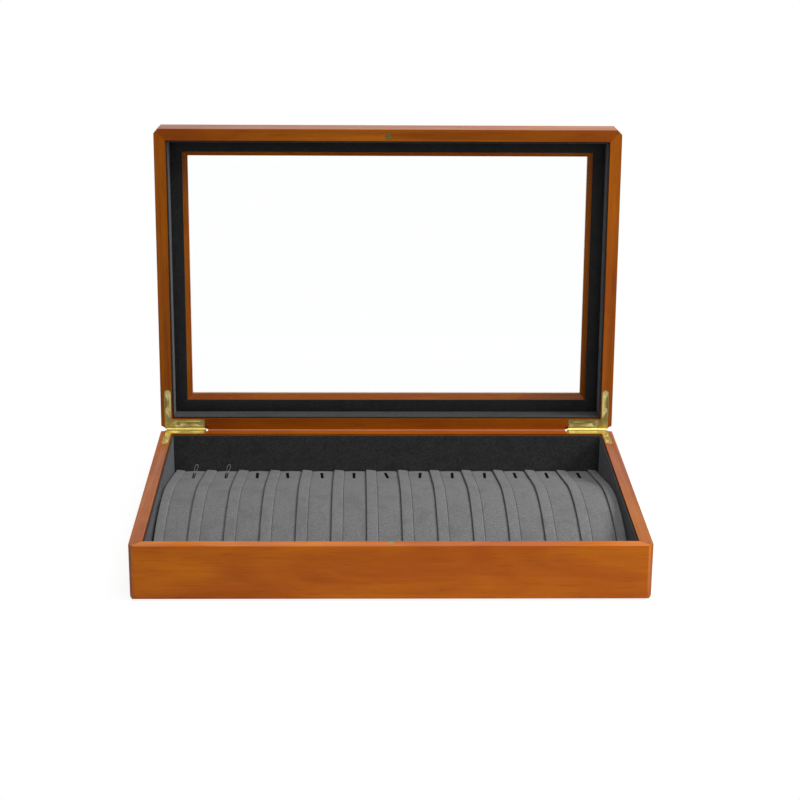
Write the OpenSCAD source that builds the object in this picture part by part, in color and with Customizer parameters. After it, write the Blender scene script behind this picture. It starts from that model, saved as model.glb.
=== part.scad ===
// Wooden ring display box with a glazed hinged lid and a crowned tray of soft channels.
// Millimetres. Origin at the centre of the underside, +Z up, front of the box towards -Y.
// The lid is drawn standing open on its hinge stops, as the box is shown in use.

/* [Case] */
// Width of the closed case, left to right
case_w = 360; // [300:5:420]
// Depth of the closed case, front to back
case_d = 240; // [200:5:280]
// Height of the base, from the table to its rim
base_h = 41; // [38:0.5:60]
// Height of the lid, from its rim to its top
lid_h = 27; // [24:0.5:40]
// Thickness of the wooden walls
wall_t = 9; // [8.8:0.1:12]
// Flat cut across each upright corner
corner_cut = 3.5; // [3:0.5:6]
// Radius of the lower edge of the base and the upper edge of the lid
edge_r = 2.5; // [1:0.5:3]
// Gap left between the rims when the box is shut
rim_gap = 0.4; // [0.2:0.1:0.8]
// How far the lid leans back past upright, in degrees
lean = 2.8; // [0:0.1:10]

/* [Floor] */
// Thickness of the floor panel
floor_t = 3; // [2:0.5:4]
// How far the floor panel is let into the walls
floor_rebate = 4; // [2:0.5:6]
// Thickness of the felt under the base
felt_t = 1; // [0.6:0.1:2]
// How far the edge of the felt stays back from the outside
felt_inset = 5; // [4:0.5:12]

/* [Window] */
// Width of the lid's wooden frame round the window
frame_w = 23.5; // [22:0.5:32]
// Thickness of the wooden lip over the glass
lip_t = 6; // [4:0.5:8]
// Thickness of the glass
glass_t = 2.5; // [2:0.5:3]
// How far the glass lies over the lip
glass_hold = 10; // [8:0.5:12]
// Play round the edge of the glass
glass_play = 0.3; // [0.1:0.1:0.6]
// Width of wood left bare beside the window
bare_lip = 3.5; // [2:0.5:6]

/* [Lining] */
// Thickness of the lining cards
liner_t = 1.2; // [1:0.2:2.4]
// Shadow gap between a lining card and the wood
liner_gap = 0.3; // [0.2:0.1:0.8]
// How far the lining stays below the rims
liner_drop = 1; // [0.5:0.1:2]
// Thickness of the lining frame that holds the glass
window_liner_t = 2; // [1.2:0.2:3]

/* [Tray] */
// Height of the tray's crest above the table
crest_h = 33.4; // [32:0.2:35]
// How far the crest lies in front of the middle of the case
crest_forward = 16; // [6:1:24]
// Radius of the arch, which runs out at the back into a straight slope
arch_r = 218; // [200:2:240]
// Height of the channels where they meet the back lining
tray_back_h = 10; // [9:0.5:14]
// Thickness of the channel pads
pad_t = 3; // [2:0.25:3.5]
// Width of a divider rib
rib_w = 8.2; // [6:0.2:9]
// How far the ribs stand above the pads
rib_rise = 1.2; // [1:0.2:2.4]
// How much a pad is crowned across its width
pad_crown = 0.5; // [0.2:0.1:0.8]
// How much a rib is crowned across its width
rib_crown = 0.6; // [0.2:0.1:0.8]
// Radius along the long edges of the pads and ribs
soft_r = 1; // [0.6:0.1:1.2]
// Gap between a pad and the ribs beside it
soft_gap = 0.15; // [0.1:0.05:0.3]
// Play between the tray and the lining
tray_play = 0.5; // [0.3:0.1:1]

/* [Ring slits] */
// Length of a slit, front to back
slit_l = 30; // [24:1:34]
// Width of a slit
slit_w = 2; // [1.5:0.1:2.6]
// Depth of a slit, down into the tray
slit_depth = 7; // [5:0.5:8]
// Distance from the middle of a slit to the outside of the back wall
slit_from_back = 37; // [36:1:45]
// How far each slit, cut by hand, strays to the right of the middle of its channel
slit_drift = [0.5, 0.5, -0.6, -2.2, -0.6, -0.9, -0.7, 0.2, 0.2, 0.3, -1.1, -1.5, -1.6];
// Diameter of the clear wire of a display loop
wire_d = 0.6; // [0.4:0.1:0.8]
// Height of a display loop above its slit
loop_h = 9; // [6:0.5:10]
// Width across the top of a display loop
loop_spread = 2.4; // [2:0.2:4]
// How far a display loop leans to the right, in degrees
loop_lean = 17; // [0:1:25]

/* [Hinges] */
// Distance from the outside of the side wall to the hinge leaf
leaf_inset = 3; // [2:0.1:3.4]
// Distance from the outside of the side wall to the end of the back arm
back_arm_end = 34.6; // [28:0.2:40]
// Width of the back arm
back_arm_w = 8.4; // [7.6:0.1:8.6]
// Width of the side arm
side_arm_w = 5.2; // [4.6:0.1:5.4]
// Thickness of a hinge leaf
leaf_t = 1.2; // [0.8:0.1:1.6]
// Play between a leaf and its recess
leaf_play = 0.1; // [0.05:0.05:0.2]
// Diameter of the hinge barrel
barrel_d = 2.8; // [2.6:0.1:3.2]
// Diameter of the hinge pin
pin_d = 1.4; // [1.2:0.1:1.6]
// Play between the pin and the knuckles
pin_play = 0.05; // [0.02:0.01:0.1]
// Gap between neighbouring knuckles
knuckle_gap = 0.15; // [0.1:0.05:0.3]
// Diameter of a screw head
screw_head_d = 3.6; // [3:0.1:4]
// Diameter of a screw shank
screw_d = 1.8; // [1.4:0.1:2.2]
// Length of a screw
screw_l = 8; // [6:0.5:10]

/* [Catch] */
// Diameter of the magnetic catch discs
magnet_d = 4.8; // [4:0.1:5]
// Thickness of a catch disc
magnet_t = 2.5; // [1.5:0.5:4]
// Distance from the outside of the front wall to the middle of a disc
magnet_inset = 5.4; // [4.6:0.1:5.8]

/* [Hidden] */
$fn = 48;
// Facets of the tray's long arch
arch_fn = 720;

// Colours of the finishes
wood = [0.66, 0.34, 0.11];
lining = [0.14, 0.14, 0.15];
suede = [0.45, 0.45, 0.45];
brass = [0.85, 0.68, 0.28];
felt = [0.12, 0.12, 0.12];
clear_glass = [0.80, 0.88, 0.90, 0.35];
clear_wire = [0.85, 0.85, 0.85];

// Overshoot of every cutter past the face it cuts
cut = 1;

// Case
floor_top = felt_t + floor_t;
liner_face = wall_t + liner_gap + liner_t;

// Lid, in its own closed frame with its rim at height 0
lip_z = lid_h - lip_t;
glass_z = lip_z - glass_t;
window_liner_z = glass_z - window_liner_t;
open_angle = 90 + lean;
axis_y = case_d / 2;
axis_z = base_h + rim_gap / 2;

// Tray: an arch about a line parallel to the hinge, and a straight slope behind it
channels = 13;
tray_x = case_w / 2 - liner_face - tray_play;
tray_y = case_d / 2 - liner_face - tray_play;
pitch = (2 * tray_x - rib_w) / channels;
pad_w = pitch - rib_w;
arch_axis_z = crest_h - arch_r;
board_r = arch_r - pad_t;
front_span = atan2(tray_y - crest_forward + cut, floor_top - arch_axis_z);

// The slope leaves the arch where it heads for the edge of the tray at the back lining
crest_to_back = tray_y + crest_forward;
back_edge_z = tray_back_h - arch_axis_z;
back_slope = atan2(crest_to_back, back_edge_z) - acos(arch_r / norm([crest_to_back, back_edge_z]));
slope_l = (crest_to_back + cut) * cos(back_slope) - (floor_top - arch_axis_z) * sin(back_slope);

// Slits lie on the slope
slit_y = axis_y - slit_from_back;
slit_s = (slit_y + crest_forward - arch_r * sin(back_slope)) / cos(back_slope);
eye_steps = 16;

// Hinges: u runs in from the side face, v runs forward from the back face
barrel_start = leaf_inset + 1.4;
barrel_end = back_arm_end + 1;
knuckles = 5;
knuckle_l = (barrel_end - barrel_start - (knuckles - 1) * knuckle_gap) / knuckles;
barrel_clear = 0.15;
side_arm_u = leaf_inset + side_arm_w / 2;
leaf_corner = corner_cut + 1.2;
stop_reach = 1;
stop_root = 0.5;
stop_r = barrel_d / 2 + stop_reach;
relief_r = stop_r + 0.2;
relief_extra = 1.6;
stop_play = 1.5;
stop_half = (open_angle + stop_play) / 2;
stop_t = 0.9;
back_screw_v = back_arm_w / 2 + 0.9;
screw_spots = [
    [13.6, back_screw_v],
    [back_arm_end - 3, back_screw_v],
    [side_arm_u, 16.5],
    [side_arm_u, 30]
];
side_arm_end = screw_spots[3][1];
screw_play = 0.05;
head_h = (screw_head_d - screw_d) / 2;
recess_w = 0.5;
recess_depth = 0.6;
magnet_play = 0.05;

// Moves the lid from its closed frame to where it stands open
module open_lid() {
    translate([0, axis_y, axis_z])
        rotate([-open_angle, 0, 0])
            translate([0, -axis_y, rim_gap / 2])
                children();
}

// Plan of one mitred side of the case, along the front; w runs along it, d across the case
module side_plan(w, d, reach) {
    c = corner_cut;
    polygon([
        [-w / 2 + c, -d / 2],
        [w / 2 - c, -d / 2],
        [w / 2 - c / 2, -d / 2 + c / 2],
        [w / 2 - reach, -d / 2 + reach],
        [-w / 2 + reach, -d / 2 + reach],
        [-w / 2 + c / 2, -d / 2 + c / 2]
    ]);
}

// Extrudes a wall section along the front and mitres its ends
module mitred_side(w, d, reach, h) {
    intersection() {
        translate([-w / 2, -d / 2, 0])
            rotate([90, 0, 90])
                linear_extrude(w)
                    children();
        translate([0, 0, -cut])
            linear_extrude(h + 2 * cut)
                side_plan(w, d, reach);
    }
}

// What a rounded edge leaves off a square corner whose tip is at the origin
module edge_scrap(r) {
    difference() {
        translate([-cut, -cut])
            square(r + cut);
        translate([r, r])
            circle(r);
    }
}

// Section of a base wall: outside face at x = 0, underside at y = felt_t
module base_section() {
    difference() {
        translate([0, felt_t])
            square([wall_t, base_h - felt_t]);
        translate([wall_t - floor_rebate, felt_t - cut])
            square([floor_rebate + cut, floor_t + cut]);
        translate([0, felt_t])
            edge_scrap(edge_r);
    }
}

// Section of a lid rail: outside face at x = 0, rim at y = 0
module lid_section() {
    difference() {
        square([frame_w, lid_h]);
        translate([wall_t, -cut])
            square([frame_w, glass_z + cut]);
        translate([frame_w - glass_hold, 0])
            square([glass_hold + cut, lip_z]);
        translate([0, lid_h])
            mirror([0, 1])
                edge_scrap(edge_r);
    }
}

// Plan of a hinge leaf in the left rear corner, in u and v, grown by some play
module leaf_plan(grow = 0) {
    polygon([
        [leaf_inset - grow, leaf_corner - leaf_inset],
        [leaf_corner - grow, -grow],
        [back_arm_end + grow, -grow],
        [back_arm_end + grow, back_arm_w + grow],
        [leaf_inset + side_arm_w + grow, back_arm_w + grow],
        [leaf_inset + side_arm_w + grow, side_arm_end],
        [leaf_inset - grow, side_arm_end]
    ]);
    translate([side_arm_u, side_arm_end])
        circle(side_arm_w / 2 + grow);
}

// Places a shape drawn in u, v and height at the left rear corner of a rim
module at_left_corner(rim_z) {
    translate([-case_w / 2, case_d / 2, rim_z])
        mirror([0, 1, 0])
            children();
}

module at_corner(side, rim_z) {
    if (side == "left") {
        at_left_corner(rim_z) children();
    } else {
        mirror([1, 0, 0]) at_left_corner(rim_z) children();
    }
}

// Room for a leaf, its barrel and its screws; up is 1 on the base and -1 in the lid
module hinge_room(up) {
    translate([0, 0, up > 0 ? -leaf_t : -cut])
        linear_extrude(leaf_t + cut)
            leaf_plan(leaf_play);
    translate([-cut, 0, up * rim_gap / 2])
        rotate([0, 90, 0])
            cylinder(r = relief_r, h = barrel_end + relief_extra + cut);
    for (spot = screw_spots)
        translate([spot[0], spot[1], up > 0 ? -screw_l - cut : 0])
            cylinder(d = screw_d + 2 * screw_play, h = screw_l + cut);
}

module hinge_rooms(up, rim_z) {
    for (side = ["left", "right"])
        at_corner(side, rim_z) hinge_room(up);
}

function knuckle_u(i) = barrel_start + i * (knuckle_l + knuckle_gap);

// One stretch of the barrel, grown by some play
module knuckle(i, r, play = 0) {
    translate([knuckle_u(i) - play, 0, 0])
        rotate([0, 90, 0])
            cylinder(r = r, h = knuckle_l + 2 * play);
}

// Stop lip behind the barrel; its flat meets the other leaf's lip when the lid stands open
module stop_lip(start, length, inner_r) {
    translate([start, 0, 0])
        rotate([stop_half, 0, 0])
            translate([0, -stop_r, -stop_t])
                cube([length, stop_r - inner_r, stop_t]);
}

// A hinge leaf lying below its rim, in u, v and height; own lists its knuckles, other the rest
module leaf(own, other) {
    difference() {
        union() {
            difference() {
                translate([0, 0, -leaf_t])
                    linear_extrude(leaf_t)
                        leaf_plan();
                translate([0, 0, rim_gap / 2])
                    for (i = other)
                        knuckle(i, barrel_d / 2 + barrel_clear, knuckle_gap);
            }
            translate([0, 0, rim_gap / 2]) {
                for (i = own)
                    knuckle(i, barrel_d / 2);
                for (i = own)
                    stop_lip(knuckle_u(i), knuckle_l, barrel_d / 2 - stop_root);
                stop_lip(
                    knuckle_u(0),
                    barrel_end - barrel_start,
                    barrel_d / 2 + barrel_clear
                );
            }
        }
        translate([barrel_start - cut, 0, rim_gap / 2])
            rotate([0, 90, 0])
                cylinder(d = pin_d + 2 * pin_play, h = barrel_end - barrel_start + 2 * cut);
        for (spot = screw_spots)
            translate([spot[0], spot[1], 0])
                screw_room();
    }
}

// Countersunk hole through a leaf whose face is at height 0
module screw_room() {
    translate([0, 0, -leaf_t - cut])
        cylinder(d = screw_d + 2 * screw_play, h = leaf_t + 2 * cut);
    translate([0, 0, -head_h])
        cylinder(d1 = screw_d + 2 * screw_play, d2 = screw_head_d + 2 * screw_play, h = head_h);
}

// Countersunk screw with a cross recess, head flush with height 0
module screw() {
    difference() {
        union() {
            translate([0, 0, -head_h])
                cylinder(d1 = screw_d, d2 = screw_head_d, h = head_h);
            translate([0, 0, -screw_l])
                cylinder(d = screw_d, h = screw_l - head_h);
        }
        for (turn = [0, 90])
            rotate([0, 0, turn])
                translate([-screw_d / 2, -recess_w / 2, -recess_depth])
                    cube([screw_d, recess_w, recess_depth + cut]);
    }
}

module screw_set() {
    for (spot = screw_spots)
        translate([spot[0], spot[1], 0])
            screw();
}

module magnet_room(rim_z, up) {
    translate([0, magnet_inset - case_d / 2, up > 0 ? rim_z - magnet_t : rim_z - cut])
        cylinder(d = magnet_d + 2 * magnet_play, h = magnet_t + cut);
}

// Base walls
module base_side(w, d) {
    mitred_side(w, d, wall_t + cut, base_h) base_section();
}

module base_front_wall() {
    color(wood)
        difference() {
            base_side(case_w, case_d);
            magnet_room(base_h, 1);
        }
}

module base_back_wall() {
    color(wood)
        difference() {
            rotate(180) base_side(case_w, case_d);
            hinge_rooms(1, base_h);
        }
}

module base_end_wall(turn) {
    color(wood)
        difference() {
            rotate(turn) base_side(case_d, case_w);
            hinge_rooms(1, base_h);
        }
}

module base_floor_panel() {
    edge = wall_t - floor_rebate;
    color(wood)
        translate([edge - case_w / 2, edge - case_d / 2, felt_t])
            cube([case_w - 2 * edge, case_d - 2 * edge, floor_t]);
}

module base_felt() {
    color(felt)
        translate([felt_inset - case_w / 2, felt_inset - case_d / 2, 0])
            cube([case_w - 2 * felt_inset, case_d - 2 * felt_inset, felt_t]);
}

// A pair of lining cards: long ones on the front and back, short ones between them
module long_card(toward, z0, z1) {
    translate([-case_w / 2 + wall_t + liner_gap, 0, z0])
        translate([0, toward > 0 ? case_d / 2 - liner_face : liner_face - liner_t - case_d / 2, 0])
            cube([case_w - 2 * (wall_t + liner_gap), liner_t, z1 - z0]);
}

module short_card(toward, z0, z1) {
    translate([0, liner_face - case_d / 2, z0])
        translate([toward > 0 ? case_w / 2 - liner_face : liner_face - liner_t - case_w / 2, 0, 0])
            cube([liner_t, case_d - 2 * liner_face, z1 - z0]);
}

module base_liner_front() {
    color(lining) long_card(-1, floor_top, base_h - liner_drop);
}

module base_liner_back() {
    color(lining) long_card(1, floor_top, base_h - liner_drop);
}

module base_liner_left() {
    color(lining) short_card(-1, floor_top, base_h - liner_drop);
}

module base_liner_right() {
    color(lining) short_card(1, floor_top, base_h - liner_drop);
}

// Turns a shape about the axis of the arch to where the slope begins, its height square to the slope
module on_slope() {
    translate([0, -crest_forward, arch_axis_z])
        rotate([-back_slope, 0, 0])
            children();
}

// Runs a section drawn in radius and width over the arch and down the slope, trimmed upright
module arch_strip() {
    intersection() {
        on_slope()
            rotate([0, -90, 0])
                mirror([0, 1, 0]) {
                    rotate_extrude(angle = front_span + back_slope, $fn = arch_fn)
                        children();
                    rotate([90, 0, 0])
                        linear_extrude(slope_l)
                            children();
                }
        translate([-tray_x, -tray_y, floor_top])
            cube([2 * tray_x, 2 * tray_y, base_h]);
    }
}

// Soft section with a crowned top and rounded upper edges
module soft_section(w, top_r, crown) {
    half = w / 2;
    crown_r = (pow(half, 2) + pow(crown, 2)) / (2 * crown);
    shoulder = top_r - crown;
    intersection() {
        union() {
            translate([board_r, -half])
                square([shoulder - soft_r - board_r, w]);
            translate([board_r, soft_r - half])
                square([top_r + cut - board_r, w - 2 * soft_r]);
            for (s = [-1, 1])
                translate([shoulder - soft_r, s * (half - soft_r)])
                    circle(soft_r);
        }
        translate([top_r - crown_r, 0])
            circle(crown_r);
    }
}

function rib_x(i) = -tray_x + rib_w / 2 + (i - 1) * pitch;
function pad_x(i) = rib_x(i) + pitch / 2;
function slit_x(i) = pad_x(i) + slit_drift[i - 1];

// Places a shape at the slit of a channel, with height 0 at the bottom of the slit
module at_slit(i) {
    on_slope()
        translate([slit_x(i), slit_s, arch_r - slit_depth])
            children();
}

module slit_room(i) {
    at_slit(i)
        translate([-slit_w / 2, -slit_l / 2, 0])
            cube([slit_w, slit_l, slit_depth + cut]);
}

module channel_pad(i) {
    color(suede)
        difference() {
            translate([pad_x(i), 0, 0])
                arch_strip()
                    soft_section(pad_w - 2 * soft_gap, arch_r, pad_crown);
            slit_room(i);
        }
}

module divider_rib(i) {
    color(suede)
        translate([rib_x(i), 0, 0])
            arch_strip()
                soft_section(rib_w, arch_r + rib_rise, rib_crown);
}

module tray_board() {
    color(lining)
        difference() {
            arch_strip()
                translate([board_r - crest_h, -tray_x])
                    square([crest_h, 2 * tray_x]);
            for (i = [1:channels])
                slit_room(i);
        }
}

// Point of a display loop's eye, as t goes round it from 0 to 1
function eye_point(t) = [
    loop_spread / 1.3 * sin(360 * t) * pow(sin(180 * t), 2),
    0,
    loop_h * pow(sin(180 * t), 2)
];

module wire_stretch(a, b) {
    hull() {
        translate(a) sphere(d = wire_d, $fn = 8);
        translate(b) sphere(d = wire_d, $fn = 8);
    }
}

// A clear wire loop whose stem stands in a slit and whose eye leans over above it
module wire_loop(i) {
    at_slit(i) {
        wire_stretch([0, 0, wire_d / 2], [0, 0, slit_depth]);
        translate([0, 0, slit_depth])
            rotate([0, loop_lean, 0])
                for (i = [0:eye_steps - 1])
                    wire_stretch(eye_point(i / eye_steps), eye_point((i + 1) / eye_steps));
    }
}

module wire_loops() {
    color(clear_wire) {
        wire_loop(1);
        wire_loop(2);
    }
}

// Hinges and catch on the base
module base_hinge_leaf(side) {
    color(brass) at_corner(side, base_h) leaf([0, 2, 4], [1, 3]);
}

module hinge_pin(side) {
    color(brass)
        at_corner(side, axis_z)
            translate([barrel_start, 0, 0])
                rotate([0, 90, 0])
                    cylinder(d = pin_d, h = barrel_end - barrel_start);
}

module base_hinge_screws() {
    color(brass) {
        at_corner("left", base_h) screw_set();
        at_corner("right", base_h) screw_set();
    }
}

module base_magnet() {
    color(brass)
        translate([0, magnet_inset - case_d / 2, base_h - magnet_t])
            cylinder(d = magnet_d, h = magnet_t);
}

// Lid rails, in the lid's closed frame
module lid_side(w, d) {
    mitred_side(w, d, frame_w + cut, lid_h) lid_section();
}

module lid_front_rail() {
    color(wood)
        open_lid()
            difference() {
                lid_side(case_w, case_d);
                magnet_room(0, -1);
            }
}

module lid_back_rail() {
    color(wood)
        open_lid()
            difference() {
                rotate(180) lid_side(case_w, case_d);
                hinge_rooms(-1, 0);
            }
}

module lid_end_rail(turn) {
    color(wood)
        open_lid()
            difference() {
                rotate(turn) lid_side(case_d, case_w);
                hinge_rooms(-1, 0);
            }
}

module glass_pane() {
    edge = frame_w - glass_hold + glass_play;
    color(clear_glass)
        open_lid()
            translate([edge - case_w / 2, edge - case_d / 2, glass_z])
                cube([case_w - 2 * edge, case_d - 2 * edge, glass_t]);
}

module window_liner() {
    outer = wall_t + glass_play;
    inner = frame_w - bare_lip;
    color(lining)
        open_lid()
            difference() {
                translate([outer - case_w / 2, outer - case_d / 2, window_liner_z])
                    cube([case_w - 2 * outer, case_d - 2 * outer, window_liner_t]);
                translate([inner - case_w / 2, inner - case_d / 2, window_liner_z - cut])
                    cube([case_w - 2 * inner, case_d - 2 * inner, window_liner_t + 2 * cut]);
            }
}

module lid_liner_front() {
    color(lining) open_lid() long_card(-1, liner_drop, window_liner_z);
}

module lid_liner_back() {
    color(lining) open_lid() long_card(1, liner_drop, window_liner_z);
}

module lid_liner_left() {
    color(lining) open_lid() short_card(-1, liner_drop, window_liner_z);
}

module lid_liner_right() {
    color(lining) open_lid() short_card(1, liner_drop, window_liner_z);
}

// Lid hardware is the base hardware turned over
module lid_hinge_leaf(side) {
    color(brass)
        open_lid()
            mirror([0, 0, 1])
                at_corner(side, 0)
                    leaf([1, 3], [0, 2, 4]);
}

module lid_hinge_screws() {
    color(brass)
        open_lid()
            mirror([0, 0, 1]) {
                at_corner("left", 0) screw_set();
                at_corner("right", 0) screw_set();
            }
}

module lid_magnet() {
    color(brass)
        open_lid()
            translate([0, magnet_inset - case_d / 2, 0])
                cylinder(d = magnet_d, h = magnet_t);
}

base_front_wall();
base_back_wall();
base_end_wall(-90);  // base_left_wall
base_end_wall(90);  // base_right_wall
base_floor_panel();
base_felt();
tray_board();
base_liner_front();
base_liner_back();
base_liner_left();
base_liner_right();
channel_pad(1);  // channel_pad_01
channel_pad(2);  // channel_pad_02
channel_pad(3);  // channel_pad_03
channel_pad(4);  // channel_pad_04
channel_pad(5);  // channel_pad_05
channel_pad(6);  // channel_pad_06
channel_pad(7);  // channel_pad_07
channel_pad(8);  // channel_pad_08
channel_pad(9);  // channel_pad_09
channel_pad(10);  // channel_pad_10
channel_pad(11);  // channel_pad_11
channel_pad(12);  // channel_pad_12
channel_pad(13);  // channel_pad_13
divider_rib(1);  // divider_rib_01
divider_rib(2);  // divider_rib_02
divider_rib(3);  // divider_rib_03
divider_rib(4);  // divider_rib_04
divider_rib(5);  // divider_rib_05
divider_rib(6);  // divider_rib_06
divider_rib(7);  // divider_rib_07
divider_rib(8);  // divider_rib_08
divider_rib(9);  // divider_rib_09
divider_rib(10);  // divider_rib_10
divider_rib(11);  // divider_rib_11
divider_rib(12);  // divider_rib_12
divider_rib(13);  // divider_rib_13
divider_rib(14);  // divider_rib_14
base_hinge_leaf("left");  // base_hinge_leaf_left
base_hinge_leaf("right");  // base_hinge_leaf_right
base_hinge_screws();
hinge_pin("left");  // hinge_pin_left
hinge_pin("right");  // hinge_pin_right
base_magnet();
wire_loops();
lid_front_rail();
lid_back_rail();
lid_end_rail(-90);  // lid_left_rail
lid_end_rail(90);  // lid_right_rail
glass_pane();
window_liner();
lid_liner_front();
lid_liner_back();
lid_liner_left();
lid_liner_right();
lid_hinge_leaf("left");  // lid_hinge_leaf_left
lid_hinge_leaf("right");  // lid_hinge_leaf_right
lid_hinge_screws();
lid_magnet();
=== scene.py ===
"""Looks of a wooden ring display box: lacquered case, glazed lid, lined inside, soft ring tray.

Everything is in metres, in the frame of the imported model, with the lid standing open.
"""

import logging
import math
from dataclasses import dataclass, field
from enum import Enum
from typing import Callable, Iterable, Iterator, Sequence

import bmesh
import bpy
from mathutils import Matrix, Vector, noise


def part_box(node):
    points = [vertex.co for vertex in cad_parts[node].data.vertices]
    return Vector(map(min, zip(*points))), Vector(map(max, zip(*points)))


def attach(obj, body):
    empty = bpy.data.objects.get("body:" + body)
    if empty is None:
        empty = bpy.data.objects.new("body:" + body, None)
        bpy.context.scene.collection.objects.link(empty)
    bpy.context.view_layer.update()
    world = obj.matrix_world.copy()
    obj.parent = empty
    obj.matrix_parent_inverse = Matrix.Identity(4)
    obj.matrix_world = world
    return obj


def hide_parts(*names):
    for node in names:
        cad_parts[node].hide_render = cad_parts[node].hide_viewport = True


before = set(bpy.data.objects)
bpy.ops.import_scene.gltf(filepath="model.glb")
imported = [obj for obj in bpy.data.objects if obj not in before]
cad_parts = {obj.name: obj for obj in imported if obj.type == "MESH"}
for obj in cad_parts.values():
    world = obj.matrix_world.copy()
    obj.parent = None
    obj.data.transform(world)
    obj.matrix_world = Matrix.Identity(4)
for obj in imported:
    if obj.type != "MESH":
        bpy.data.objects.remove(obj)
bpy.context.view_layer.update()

LOG = logging.getLogger("ring_display_box")
MM = 0.001
MERGE_DISTANCE = 0.002 * MM
FLAT_ANGLE = math.radians(0.4)
# Places of the colour mix among the sockets of Blender's mix node.
MIX_SHARE, MIX_FIRST, MIX_SECOND, MIX_RESULT = 0, 6, 7, 2

Triple = tuple[float, float, float]
Socket = bpy.types.NodeSocket


class Grain(Enum):
    """Way that the grain of a board runs on the box as it stands open."""

    ACROSS = "left to right"
    DEEP = "front to back"
    UPRIGHT = "up the open lid"


class Body(Enum):
    """The two bodies of the box."""

    BASE = "base"
    LID = "lid"


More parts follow.
